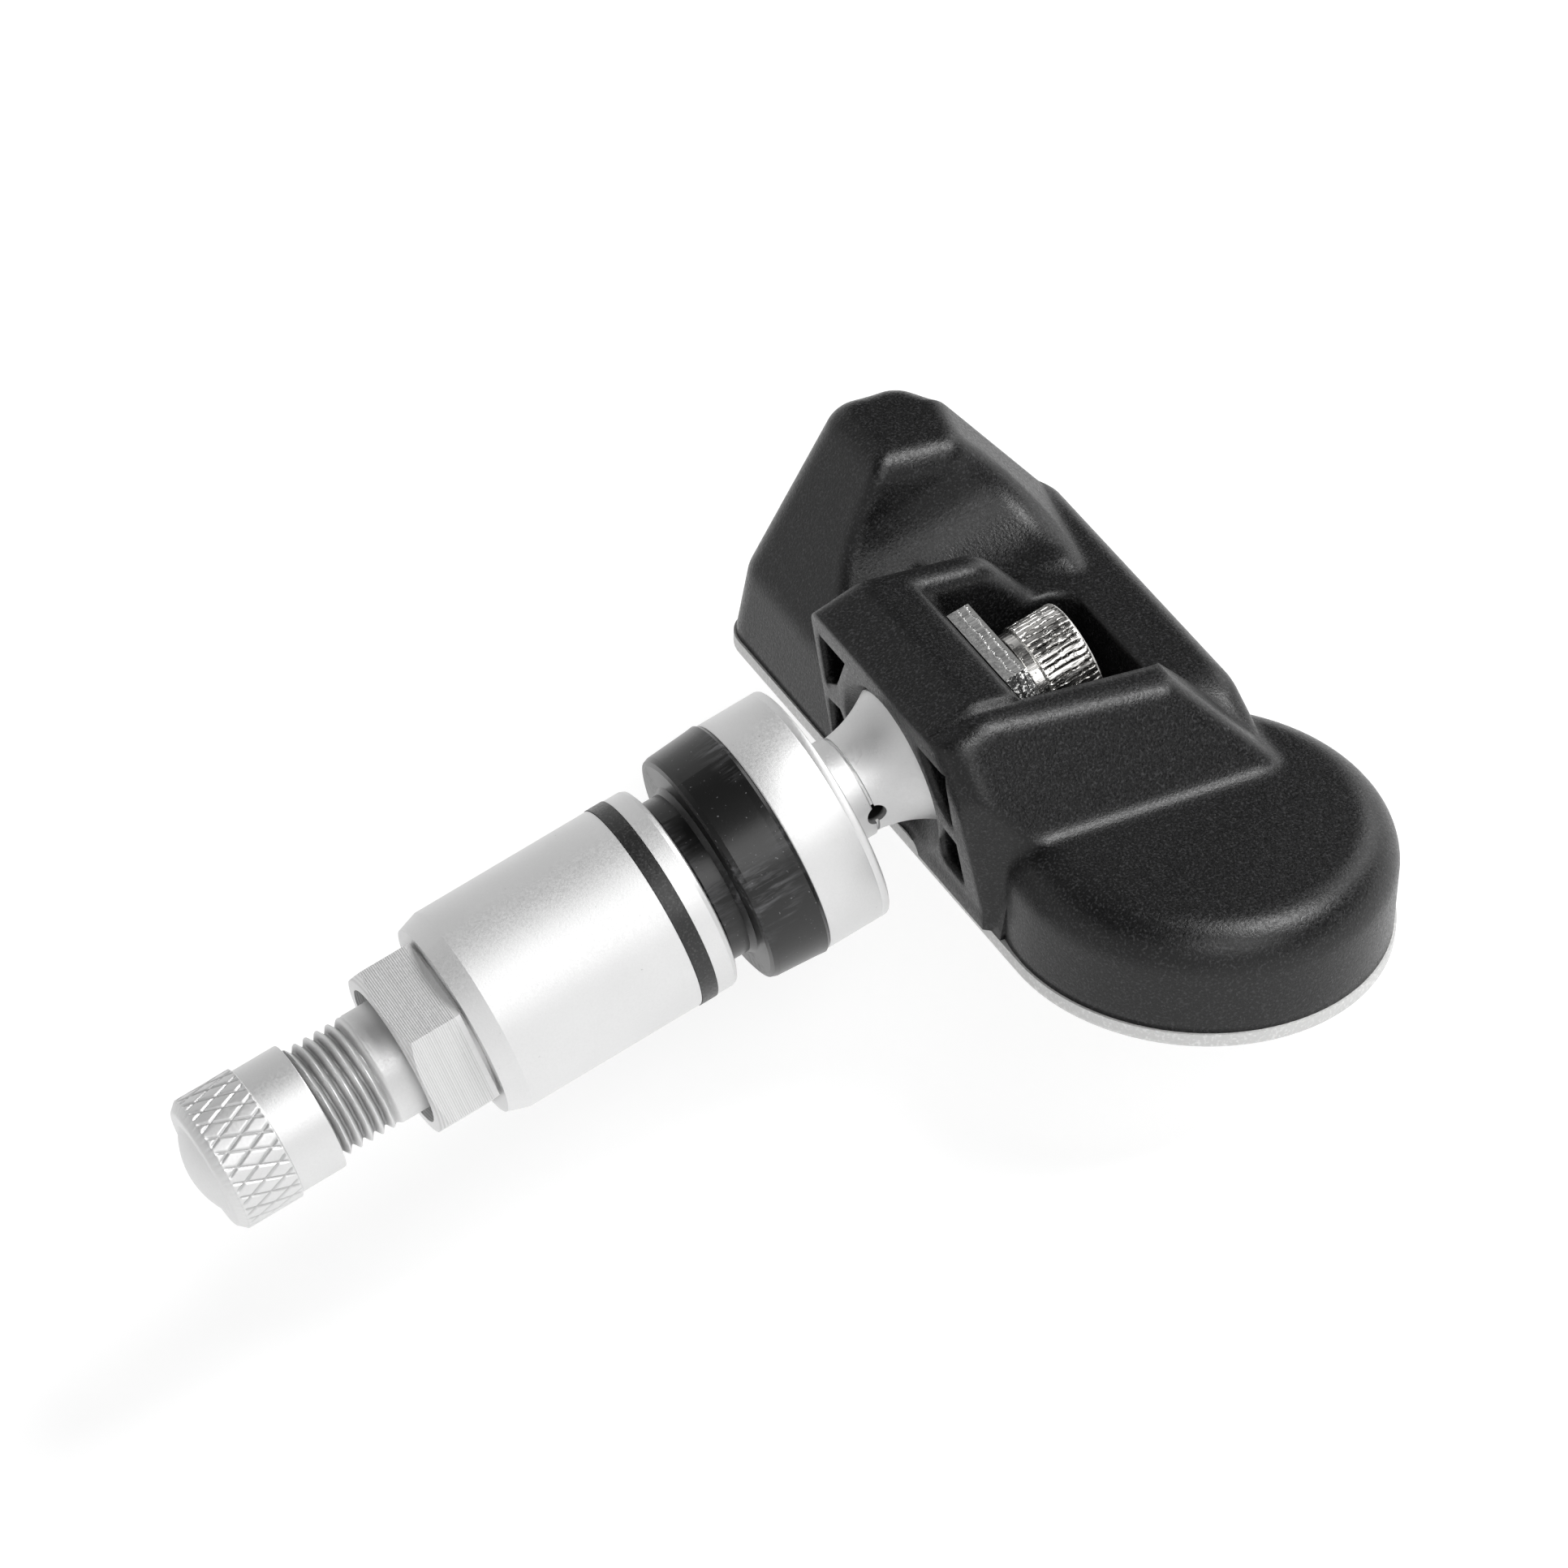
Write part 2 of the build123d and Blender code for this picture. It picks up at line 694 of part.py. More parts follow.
side_wall = ((0, cheek_ridge[0], cheek_ridge[1]), (0, side_fall, side_run))
cheek = cheek - beyond(side_wall)
brow = [e for e in cheek.edges() if abs(reach(side_wall, *e.center())) < 0.05 and e.center().Z > lobe_top]
cheek = fillet(brow, cheek_edge)
cheek = cheek - upright(cheek_nose + [(-3.4, 20), (6, 20), (6, 8.8)], 0, 30)
housing = body + lobe + block + cheek
housing = fillet(pick(housing, ((front_knee[0] + cheek_back[1][0]) / 2, cheek_foot[0], lobe_top)), cheek_toe)

# Seat for the stem's foot, slot for the clamp screw, pocket for the plate and screw head
seat = to_housing(Pos(pivot_x, 0, 0) * Sphere(ball_r + joint_gap))
wall_round = to_housing(Pos(pivot_x, 0, 0) * Rot(90, 0, 0) * Cylinder(wall_r, 60))
slot_plane = Plane(origin=(-10, 0, 0), x_dir=(0, 0, 1), z_dir=(-1, 0, 0))
slot_outline = SlotCenterToCenter(slot_up - slot_down, 2 * slot_half)
slot_face = slot_plane * Pos((slot_up + slot_down) / 2, 0) * slot_outline
slot = to_housing(extrude(slot_face, 16))
pocket = box(pocket_rear, 0, -pocket_y, pocket_y, pocket_floor, 30)
pocket = fillet(pocket.edges().filter_by(Axis.Z).group_by(Axis.X)[0], pocket_round)
pocket = pocket - wall_round - disc(cell_c, cell_room_r + pocket_skin, 0, cell_room_top + pocket_skin)
housing = housing - seat - slot - pocket
ear_x, ear_z = between(block_back[0], block_back[1], 0.75)
housing = fillet(pick(housing, (ear_x, -pocket_y, ear_z)), ear_lip)
lip_x, lip_z = between(block_back[0], block_back[1], 0.45)
housing = fillet(pick(housing, (lip_x, 0, lip_z)), pocket_lip)

# Weight-saving pockets in the block's front face
for sign in (1, -1):
    for corners in (rib_upper, rib_lower):
        housing = housing - along_x([(sign * y, z) for y, z in corners], rib_depth, 8)

# Rooms inside the housing
tab_y = cell_c[1] + tab_reach
tab_room_half = tab_half + tab_room + pad_gap
rooms = box(*room_a, 0, room_a_top) + box(*room_b, 0, room_b_top) + box(*shaft, room_a_top - 1, shaft_top)
rooms = rooms + disc(cell_c, cell_room_r, 0, cell_room_top)
rooms = rooms + box(
    cell_c[0] - tab_room_half, cell_c[0] + tab_room_half, cell_c[1], tab_y + tab_room, 0, cell_room_top)
port_top = scoop_cove[1] - scoop_rise * port_c[0] + 2
port = disc(port_c, port_r, room_a_top - 1, port_top)
housing = housing - rooms - port
housing_shell = housing_place * housing

# Pale base cover with the potting that carries the board
cover = extrude(offset(outline, cover_proud), cover_t - face_gap)
cover = fillet(cover.edges().group_by(Axis.Z)[0], cover_edge)
pad = floor_plan(pad_gap, cell_room_r - pad_gap, pad_z0, board_z - face_gap)
base_cover = housing_place * (cover + pad)

# Circuit board with a tongue for the upper tab
board_top = board_z + board_t + face_gap
board = floor_plan(board_gap, cell_r - 0.1, board_z, board_z + board_t)
tongue_half = tab_half + pad_gap
board = board + box(
    cell_c[0] - tongue_half, cell_c[0] + tongue_half, cell_c[1], tab_y + 0.1, board_z, board_z + board_t)
circuit_board = housing_place * board

# Coin cell and its tabs
cell_z = board_z + board_t + cell_lift
cell_top = cell_z + cell_t
gasket_r = cell_r - can_t - joint_gap
lid_r = gasket_r - cell_gasket_t - joint_gap
cell_can = disc(cell_c, cell_r, cell_z, cell_top)
cell_can = cell_can - disc(cell_c, cell_r - can_t, cell_z - 1, cell_top - can_t)
cell_gasket = disc(cell_c, gasket_r, cell_z + joint_gap, cell_z + 0.9)
cell_gasket = cell_gasket - disc(cell_c, gasket_r - cell_gasket_t, cell_z - 1, cell_z + 2)
cell_lid = disc(cell_c, lid_r, cell_z - 0.02, cell_z + can_t)
cell_pellet = disc(cell_c, lid_r - joint_gap, cell_z + 0.95, cell_top - can_t - joint_gap)
lower_half = tab_half + 0.1
lower_x0 = cell_c[0] - lower_half
lower_x1 = cell_c[0] + lower_half
cell_tab_lower = box(
    lower_x0, lower_x1, cell_c[1] + tab_lower_y0, cell_c[1] + tab_lower_y1, board_top, board_top + lead_t)
tab_z = cell_top + face_gap
tab_x0 = cell_c[0] - tab_half
tab_x1 = cell_c[0] + tab_half
cell_tab_upper = box(tab_x0, tab_x1, cell_c[1] + tab_upper_y0, tab_y, tab_z, tab_z + lead_t)
cell_tab_upper = cell_tab_upper + box(tab_x0, tab_x1, tab_y - lead_t, tab_y, board_top, tab_z + lead_t)

# Pressure chip under the port, with its seal ring
pressure_chip = on_board(port_c, chip_size)
chip_top = board_top + chip_size[2]
pressure_chip = pressure_chip - disc(port_c, port_r + joint_gap, chip_top - 0.3, chip_top + 1)
port_seal = disc(port_c, port_seal_r, chip_top + face_gap, room_a_top - face_gap)
port_seal = port_seal - disc(port_c, port_r + pad_gap, board_top, room_a_top)

# Receiver coil, aerial strip and small parts on the board
coil_c = ((shaft[0] + shaft[1]) / 2, (shaft[2] + shaft[3]) / 2)
coil_core = disc(coil_c, coil_r, board_top, coil_top)
coil_winding = disc(coil_c, winding_r, winding_z[0], winding_z[1])
coil_winding = coil_winding - disc(coil_c, coil_r + joint_gap, board_top, coil_top)
aerial_x0 = shaft[0] + aerial_gap
aerial_x1 = shaft[1] - aerial_gap
aerial_y0 = shaft[2] + aerial_gap
aerial_y1 = shaft[3] - aerial_gap
leg_y0 = coil_c[1] - aerial_leg / 2
leg_y1 = coil_c[1] + aerial_leg / 2
aerial_strip = box(aerial_x0, aerial_x1, aerial_y0, aerial_y1, aerial_z, aerial_z + aerial_t)
aerial_strip = aerial_strip + box(aerial_x0, aerial_x0 + aerial_t, leg_y0, leg_y1, board_top, aerial_z + 0.1)
crystal = on_board(crystal_at, crystal_size)
capacitor = on_board(capacitor_at, capacitor_size)
radio_chip = on_board(radio_at, radio_size)

nodes = {
    "valve_stem": valve_stem,
    "valve_core_plug": valve_core_plug,
    "core_gasket": core_gasket,
    "core_pin": core_pin,
    "core_cup": core_cup,
    "core_spring": core_spring,
    "valve_cap": valve_cap,
    "cap_seal": cap_seal,
    "rim_grommet": rim_grommet,
    "pressure_washer": pressure_washer,
    "slip_ring": slip_ring,
    "hex_nut": hex_nut,
    "clamp_plate": clamp_plate,
    "clamp_screw": clamp_screw,
    "housing_shell": housing_shell,
    "base_cover": base_cover,
    "circuit_board": circuit_board,
    "cell_can": housing_place * cell_can,
    "cell_gasket": housing_place * cell_gasket,
    "cell_lid": housing_place * cell_lid,
    "cell_pellet": housing_place * cell_pellet,
    "cell_tab_lower": housing_place * cell_tab_lower,
    "cell_tab_upper": housing_place * cell_tab_upper,
    "pressure_chip": housing_place * pressure_chip,
    "port_seal": housing_place * port_seal,
    "coil_core": housing_place * coil_core,
    "coil_winding": housing_place * coil_winding,
    "aerial_strip": housing_place * aerial_strip,
    "crystal": housing_place * crystal,
    "capacitor": housing_place * capacitor,
    "radio_chip": housing_place * radio_chip,
}

os.makedirs("parts", exist_ok=True)
for name, shape in nodes.items():
    export_step(shape, "parts/" + name + ".step")
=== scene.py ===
import math

import bpy
from mathutils import Matrix, Vector, noise


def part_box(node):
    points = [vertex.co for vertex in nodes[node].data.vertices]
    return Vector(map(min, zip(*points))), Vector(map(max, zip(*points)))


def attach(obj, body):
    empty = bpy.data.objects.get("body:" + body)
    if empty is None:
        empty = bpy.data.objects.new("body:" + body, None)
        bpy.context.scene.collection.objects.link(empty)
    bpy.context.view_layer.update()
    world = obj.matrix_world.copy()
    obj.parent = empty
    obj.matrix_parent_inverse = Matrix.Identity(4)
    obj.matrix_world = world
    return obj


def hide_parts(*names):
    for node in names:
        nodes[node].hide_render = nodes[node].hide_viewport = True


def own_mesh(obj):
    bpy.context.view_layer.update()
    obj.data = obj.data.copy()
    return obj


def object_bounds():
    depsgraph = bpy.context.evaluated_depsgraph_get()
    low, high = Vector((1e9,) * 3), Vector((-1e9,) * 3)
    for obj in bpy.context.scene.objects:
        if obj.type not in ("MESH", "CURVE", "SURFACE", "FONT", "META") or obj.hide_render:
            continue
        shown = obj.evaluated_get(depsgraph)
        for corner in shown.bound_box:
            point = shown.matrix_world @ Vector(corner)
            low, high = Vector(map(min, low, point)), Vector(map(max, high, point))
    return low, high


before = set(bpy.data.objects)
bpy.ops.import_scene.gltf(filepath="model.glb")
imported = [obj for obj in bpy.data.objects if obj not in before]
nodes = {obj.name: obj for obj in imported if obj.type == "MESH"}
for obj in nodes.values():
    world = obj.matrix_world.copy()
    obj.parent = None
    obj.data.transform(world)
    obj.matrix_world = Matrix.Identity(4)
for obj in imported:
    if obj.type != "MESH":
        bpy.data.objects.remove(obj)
cad_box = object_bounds()
MM = 0.001
TAU = 2 * math.pi

# Camera at the photograph's angle: right, up and backward directions and place in the part's frame
cam_right = Vector((-0.8455, 0.4783, -0.2375))
cam_up = Vector((-0.5020, -0.5601, 0.6590))
cam_back = Vector((0.18224, 0.67641, 0.71363))
cam_place = Vector((0.09065, 0.36120, 0.38426))
cam_data = bpy.data.cameras.new("photo_camera")
cam_data.sensor_width = 36.0
cam_data.lens = 195.19
cam_data.clip_start = 0.01
camera = bpy.data.objects.new("photo_camera", cam_data)
bpy.context.scene.collection.objects.link(camera)
camera.matrix_world = Matrix((
    (cam_right.x, cam_up.x, cam_back.x, cam_place.x),
    (cam_right.y, cam_up.y, cam_back.y, cam_place.y),
    (cam_right.z, cam_up.z, cam_back.z, cam_place.z),
    (0, 0, 0, 1),
))
bpy.context.scene.camera = camera
bpy.context.scene.view_settings.view_transform = "Standard"


# Shader building
class Shader:
    """A material with a Principled surface and short calls for its texture nodes."""

    def __init__(self, name, color, rough, metallic=0.0, specular=0.5):
        self.mat = bpy.data.materials.new(name)
        self.mat.use_nodes = True
        self.tree = self.mat.node_tree
        self.surface = self.tree.nodes["Principled BSDF"]
        self.surface.inputs["Base Color"].default_value = (*color, 1)
        self.surface.inputs["Roughness"].default_value = rough
        self.surface.inputs["Metallic"].default_value = metallic
        self.surface.inputs["Specular IOR Level"].default_value = specular
        self.place = self.node("ShaderNodeTexCoord").outputs["Object"]

    def node(self, kind, inputs=None, **props):
        """A new node with its properties set and its inputs given values or links."""
        made = self.tree.nodes.new(kind)
        for key, value in props.items():
            setattr(made, key, value)
        for key, value in (inputs or {}).items():
            self.put(value, made.inputs[key])
        return made

    def put(self, value, socket):
        """Links or sets a socket."""
        if isinstance(value, bpy.types.NodeSocket):
            self.tree.links.new(value, socket)
        else:
            socket.default_value = value

    def stretch(self, scale):
        """The object's coordinates, scaled along each axis."""
        mapping = self.node("ShaderNodeMapping", {"Vector": self.place, "Scale": scale})
        return mapping.outputs["Vector"]

    def noise(self, scale, detail=2.0, rough=0.5, at=None):
        """Cloudy noise, its scale in lumps per metre."""
        made = self.node("ShaderNodeTexNoise", {
            "Vector": at or self.place, "Scale": scale, "Detail": detail, "Roughness": rough})
        return made.outputs["Fac"]

    def spread(self, value, low, high, to_low=0.0, to_high=1.0):
        """A value stretched from one range to another and held at its ends."""
        made = self.node("ShaderNodeMapRange", {
            "Value": value, "From Min": low, "From Max": high, "To Min": to_low, "To Max": to_high})
        return made.outputs["Result"]

    def math(self, operation, a, b=0.0):
        """One sum on values."""
        return self.node("ShaderNodeMath", {0: a, 1: b}, operation=operation).outputs[0]

    def axis(self, name):
        """The object's own X, Y or Z, in metres."""
        return self.node("ShaderNodeSeparateXYZ", {0: self.place}).outputs[name]

    def radius(self):
        """Distance from the valve axis."""
        y, z = self.axis("Y"), self.axis("Z")
        squares = self.math("ADD", self.math("MULTIPLY", y, y), self.math("MULTIPLY", z, z))
        return self.math("SQRT", squares)

    def run(self, from_x, to_x):
        """1 on the stretch of the valve axis between two places in millimetres, 0 off it."""
        fade = 0.1
        after = self.spread(self.axis("X"), from_x * MM, (from_x + fade) * MM)
        before = self.spread(self.axis("X"), to_x * MM, (to_x - fade) * MM)
        return self.math("MULTIPLY", after, before)

    def mix(self, factor, one, two):
        """Two colours mixed by a factor."""
        made = self.node("ShaderNodeMix", data_type="RGBA")
        self.put(factor, made.inputs[0])
        for value, socket in ((one, made.inputs[6]), (two, made.inputs[7])):
            self.put(value if isinstance(value, bpy.types.NodeSocket) else (*value, 1), socket)
        return made.outputs[2]

    def color(self, value):
        """Links the surface's colour."""
        self.put(value, self.surface.inputs["Base Color"])

    def rough(self, value):
        """Links the surface's roughness."""
        self.put(value, self.surface.inputs["Roughness"])

    def bump(self, height, strength, depth):
        """Adds a layer of surface relief, depth in millimetres."""
        under = self.surface.inputs["Normal"]
        inputs = {"Height": height, "Strength": strength, "Distance": depth * MM}
        if under.is_linked:
            inputs["Normal"] = under.links[0].from_socket
        self.put(self.node("ShaderNodeBump", inputs).outputs["Normal"], under)


def toned(color, factor):
    """A colour made darker or lighter."""
    return tuple(min(1.0, c * factor) for c in color)


def moulded(name, dark, light, rough, grain, depth, specular=0.5, edge=0.0, salt=1.2):
    """Moulded plastic with a spark-eroded grain of a depth in millimetres.

    edge is how far its corners are softened, in millimetres, and salt how bright its specks are: pale specks
    painted in as glints of the grain, partly dust.
    """
    s = Shader(name, dark, rough, specular=specular)
    if edge:
        soft = s.node("ShaderNodeBevel", {"Radius": edge * MM}, samples=8)
        s.put(soft.outputs["Normal"], s.surface.inputs["Normal"])
    fine = s.noise(grain, 2.0, 0.6)
    coarse = s.noise(grain * 0.45, 2.0, 0.5)
    broad = s.noise(420, 3.0, 0.55)
    # painted highlight: pale specks at the grain's scale stand in for its glints, partly dust
    specks = s.spread(s.noise(grain * 1.1, 1.0), 0.52, 0.76)
    base = s.mix(broad, dark, light)
    s.color(s.mix(specks, base, toned(light, salt)))
    s.rough(s.spread(fine, 0.3, 0.7, rough - 0.09, rough + 0.11))
    s.bump(broad, 0.10, 0.04)
    s.bump(coarse, 0.10, depth)
    s.bump(fine, 0.50, depth)
    return s.mat


# Blasted aluminium: grains per metre, their depth in millimetres and how metallic the skin is
blast_grain, blast_depth, blast_metal = 6500, 0.012, 0.8


def satin(s, color, rough):
    """Gives a metal its blasted skin: an even grain, faint drift and a few dark nicks."""
    pits = s.noise(blast_grain, 2.0, 0.6)
    drift = s.noise(160, 2.0, 0.5)
    tint = s.mix(s.spread(drift, 0.3, 0.7), toned(color, 0.96), color)
    nicks = s.spread(s.noise(1900, 2.0, 0.7), 0.74, 0.80)
    tint = s.mix(nicks, tint, toned(color, 0.70))
    s.rough(s.spread(pits, 0.3, 0.7, rough - 0.06, rough + 0.08))
    return tint, pits


def turned_metal(name, color, rough, pitch, line_depth, painted_shade_runs=()):
    """Satin metal off a lathe, with faint tool lines.

    Each of the runs given paints shade into its depths: from x, to x, deep radius, full radius and shade.
    """
    s = Shader(name, color, rough, metallic=blast_metal)
    tint, pits = satin(s, color, rough)
    for from_x, to_x, deep_r, full_r, shade in painted_shade_runs:
        # painted shade: the colour darkens towards the bottom of each run's grooves and hollows
        deep = s.spread(s.radius(), full_r * MM, deep_r * MM)
        tint = s.mix(s.math("MULTIPLY", deep, s.run(from_x, to_x)), tint, toned(color, shade))
    s.color(tint)
    rings = s.noise(1.0, 2.0, 0.6, at=s.stretch((1000 / pitch, 6, 6)))
    s.bump(rings, 0.35, line_depth)
    s.bump(pits, 0.55, blast_depth)
    return s.mat


def plated(name, color, rough, head, grooves, collar):
    """Bright plating with worn streaks along the head's knurl.

    Painted shade lies between the two radii of grooves on the head's run, and on the collar past an x.
    """
    s = Shader(name, color, rough, metallic=1.0)
    deep = s.spread(s.radius(), grooves[1] * MM, grooves[0] * MM)
    # painted shade: near black in the knurl's grooves and on everything past the collar's x
    painted_shade_mask = s.math("MULTIPLY", deep, s.run(*head))
    painted_shade_mask = s.math("MAXIMUM", painted_shade_mask, s.spread(s.axis("X"), collar * MM, (collar + 0.05) * MM))
    streaks = s.noise(1.0, 3.0, 0.7, at=s.stretch((500, 4200, 4200)))
    nicks = s.spread(s.noise(2600, 3.0, 0.7), 0.60, 0.66)
    worn = s.mix(s.spread(streaks, 0.35, 0.65), toned(color, 0.55), toned(color, 1.2))
    worn = s.mix(nicks, worn, toned(color, 0.35))
    s.color(s.mix(painted_shade_mask, worn, toned(color, 0.08)))
    s.rough(s.spread(streaks, 0.3, 0.7, rough - 0.05, rough + 0.12))
    s.bump(streaks, 0.5, 0.03)
    s.bump(nicks, 0.4, 0.03)
    return s.mat


def rubber(name, dark, light, rough):
    """Moulded rubber with rubbed streaks and a fine skin."""
    s = Shader(name, dark, rough)
    streaks = s.noise(1.0, 3.0, 0.65, at=s.stretch((320, 2600, 2600)))
    patch = s.spread(s.noise(190, 2.0, 0.5), 0.48, 0.62)
    rubbed = s.math("MULTIPLY", s.spread(streaks, 0.46, 0.70), patch)
    dust = s.spread(s.noise(5200, 1.0), 0.72, 0.80)
    s.color(s.mix(dust, s.mix(rubbed, dark, light), toned(light, 1.6)))
    s.rough(s.spread(rubbed, 0.0, 1.0, rough, rough + 0.22))
    s.bump(s.noise(3600, 3.0, 0.6), 0.35, 0.012)
    s.bump(rubbed, 0.25, 0.02)
    return s.mat


def simple(name, dark, light, rough, scale, metallic=0.0, depth=0.01):
    """A small part's finish with its own colour drift and grain."""
    s = Shader(name, light, rough, metallic)
    drift = s.noise(scale, 3.0, 0.6)
    s.color(s.mix(drift, dark, light))
    s.rough(s.spread(drift, 0.3, 0.7, rough - 0.06, rough + 0.08))
    s.bump(s.noise(scale * 6, 2.0), 0.3, depth)
    return s.mat


def sheared(name, x_rear, thick):
    """Stamped plate: torn grain, ragged lines and burnished streaks across its thickness, painted shade on
    its sides.
    """
    s = Shader(name, (0.62, 0.62, 0.61), 0.32, metallic=1.0)
    across = s.spread(s.axis("X"), x_rear * MM, (x_rear + thick) * MM)
    wander = s.noise(900, 4.0, 0.7)
    tear = s.math("SUBTRACT", across, s.spread(wander, 0.25, 0.75, 0.44, 0.66))
    roll = s.math("SUBTRACT", across, s.spread(s.noise(1100, 4.0, 0.7), 0.25, 0.75, 0.10, 0.30))
    torn = s.spread(tear, 0.0, 0.02)
    rolled = s.spread(roll, 0.0, -0.02)
    grains = s.noise(5200, 3.0, 0.7)
    streaks = s.noise(1.0, 3.0, 0.6, at=s.stretch((250, 3600, 3600)))
    burnished = s.mix(s.spread(streaks, 0.35, 0.65), (0.36, 0.36, 0.36), (0.74, 0.74, 0.73))
    granular = s.mix(s.spread(grains, 0.35, 0.65), (0.34, 0.34, 0.34), (0.66, 0.66, 0.65))
    zones = s.mix(rolled, s.mix(torn, burnished, granular), (0.55, 0.55, 0.54))
    line_one = s.spread(s.math("ABSOLUTE", tear), 0.050, 0.015)
    line_two = s.spread(s.math("ABSOLUTE", roll), 0.050, 0.015)
    lined = s.mix(s.math("MAXIMUM", line_one, line_two), zones, (0.95, 0.95, 0.94))
    # painted shade: faces whose normal points along Y are painted near black, flecked with grey grains
    normal = s.node("ShaderNodeTexCoord").outputs["Normal"]
    facing = s.node("ShaderNodeSeparateXYZ", {0: normal}).outputs["Y"]
    painted_shade_sides = s.mix(s.spread(grains, 0.52, 0.62), (0.035, 0.035, 0.035), (0.55, 0.55, 0.54))
    s.color(s.mix(s.spread(s.math("ABSOLUTE", facing), 0.3, 0.5), lined, painted_shade_sides))
    s.rough(s.spread(torn, 0.0, 1.0, 0.26, 0.44))
    s.bump(s.math("MULTIPLY", grains, torn), 0.8, 0.06)
    s.bump(streaks, 0.35, 0.03)
    s.bump(s.math("MAXIMUM", line_one, line_two), 0.7, 0.05)
    return s.mat


def milled(name, color, rough, x_start, pitch, depth):
    """Blasted metal whose hexagon, past x_start, carries the fine straight lines of the cutter."""
    s = Shader(name, color, rough, metallic=blast_metal)
    on_hex = s.spread(s.axis("X"), x_start * MM, (x_start + 0.05) * MM)
    even = s.math("SINE", s.math("MULTIPLY", s.axis("X"), TAU / (pitch * MM)))
    uneven = s.noise(1.0, 2.0, 0.6, at=s.stretch((1000 / pitch, 40, 40)))
    lines = s.math("ADD", s.math("MULTIPLY", even, 0.35), uneven)
    tint, pits = satin(s, color, rough)
    lined = s.math("MULTIPLY", s.spread(lines, 0.3, 0.8), on_hex)
    s.color(s.mix(lined, tint, toned(color, 0.80)))
    s.bump(s.math("MULTIPLY", lines, on_hex), 0.6, depth)
    s.bump(pits, 0.55, blast_depth)
    return s.mat


# Materials, and which one each node of the frame wears
mats = {
    "housing": moulded("housing_plastic", (0.0042, 0.0042, 0.0044), (0.0060, 0.0060, 0.0062),
                       0.33, 5600, 0.050, specular=0.36, edge=1.0, salt=6),
    "cover": moulded("cover_plastic", (0.52, 0.52, 0.515), (0.60, 0.60, 0.595), 0.48, 4200, 0.012),
    "ring": moulded("ring_plastic", (0.010, 0.010, 0.010), (0.016, 0.016, 0.016), 0.38, 6000, 0.012, salt=3),
    "grommet": rubber("grommet_rubber", (0.0065, 0.0065, 0.0065), (0.080, 0.080, 0.083), 0.30),
    "seal": rubber("seal_rubber", (0.016, 0.016, 0.016), (0.040, 0.040, 0.041), 0.45),
    # painted shade in the stem's thread roots and inside its cross hole
    "valve": turned_metal("valve_metal", (0.75, 0.75, 0.75), 0.52, 0.10, 0.008,
                          painted_shade_runs=((24.4, 35.3, 3.44, 3.80, 0.42), (-11.7, -9.8, 2.85, 3.12, 0.06))),
    "nut": milled("nut_metal", (0.77, 0.77, 0.77), 0.56, 19.35, 0.15, 0.020),
    # painted shade in the cap's knurl grooves
    "cap": turned_metal("cap_metal", (0.74, 0.74, 0.74), 0.52, 0.12, 0.006,
                        painted_shade_runs=((32.3, 36.4, 4.45, 4.58, 0.66),)),
    # painted shade in the head's knurl grooves and on the collar
    "screw": plated("screw_nickel", (0.68, 0.67, 0.65), 0.22,
                    head=(-27.7, -24.4), grooves=(3.30, 3.45), collar=-23.62),
    "brass": simple("core_brass", (0.62, 0.44, 0.17), (0.74, 0.54, 0.24), 0.28, 900, 1.0),
    "spring": simple("spring_steel", (0.50, 0.50, 0.51), (0.66, 0.66, 0.67), 0.26, 1500, 1.0),
    "plate": sheared("plate_steel", -23.00, 1.60),
    "board": simple("board_laminate", (0.012, 0.085, 0.030), (0.025, 0.130, 0.050), 0.42, 700),
    "cell": simple("cell_steel", (0.60, 0.60, 0.61), (0.72, 0.72, 0.72), 0.24, 800, 1.0),
    "cell_seal": simple("cell_seal", (0.05, 0.05, 0.07), (0.09, 0.09, 0.11), 0.5, 900),
    "cell_fill": simple("cell_fill", (0.05, 0.05, 0.05), (0.10, 0.10, 0.10), 0.7, 1500),
    "lead": simple("lead_steel", (0.58, 0.58, 0.59), (0.72, 0.72, 0.72), 0.30, 1200, 1.0),
    "chip": simple("chip_plastic", (0.014, 0.014, 0.015), (0.030, 0.030, 0.032), 0.55, 2400),
    "ferrite": simple("ferrite", (0.030, 0.030, 0.032), (0.060, 0.060, 0.062), 0.5, 1800),
    "copper": simple("copper_wire", (0.62, 0.27, 0.13), (0.78, 0.38, 0.20), 0.3, 2600, 1.0, 0.04),
    "ceramic": simple("chip_ceramic", (0.30, 0.24, 0.18), (0.44, 0.36, 0.28), 0.45, 1600),
}

finish = {
    "housing_shell": "housing", "base_cover": "cover", "slip_ring": "ring", "rim_grommet": "grommet",
    "cap_seal": "seal", "core_gasket": "seal", "core_cup": "seal", "port_seal": "seal", "hex_nut": "nut",
    "pressure_washer": "valve", "valve_core_plug": "brass", "core_pin": "brass", "core_spring": "spring",
    "clamp_plate": "plate", "circuit_board": "board", "cell_can": "cell", "cell_lid": "cell",
    "cell_gasket": "cell_seal", "cell_pellet": "cell_fill", "cell_tab_lower": "lead",
    "cell_tab_upper": "lead", "aerial_strip": "lead", "pressure_chip": "chip", "radio_chip": "chip",
    "coil_core": "ferrite", "coil_winding": "copper", "crystal": "cell", "capacitor": "ceramic",
    "valve_stem": "valve", "valve_cap": "cap", "clamp_screw": "screw",
}
for name, obj in nodes.items():
    obj.data.materials.clear()
    obj.data.materials.append(mats[finish[name]])


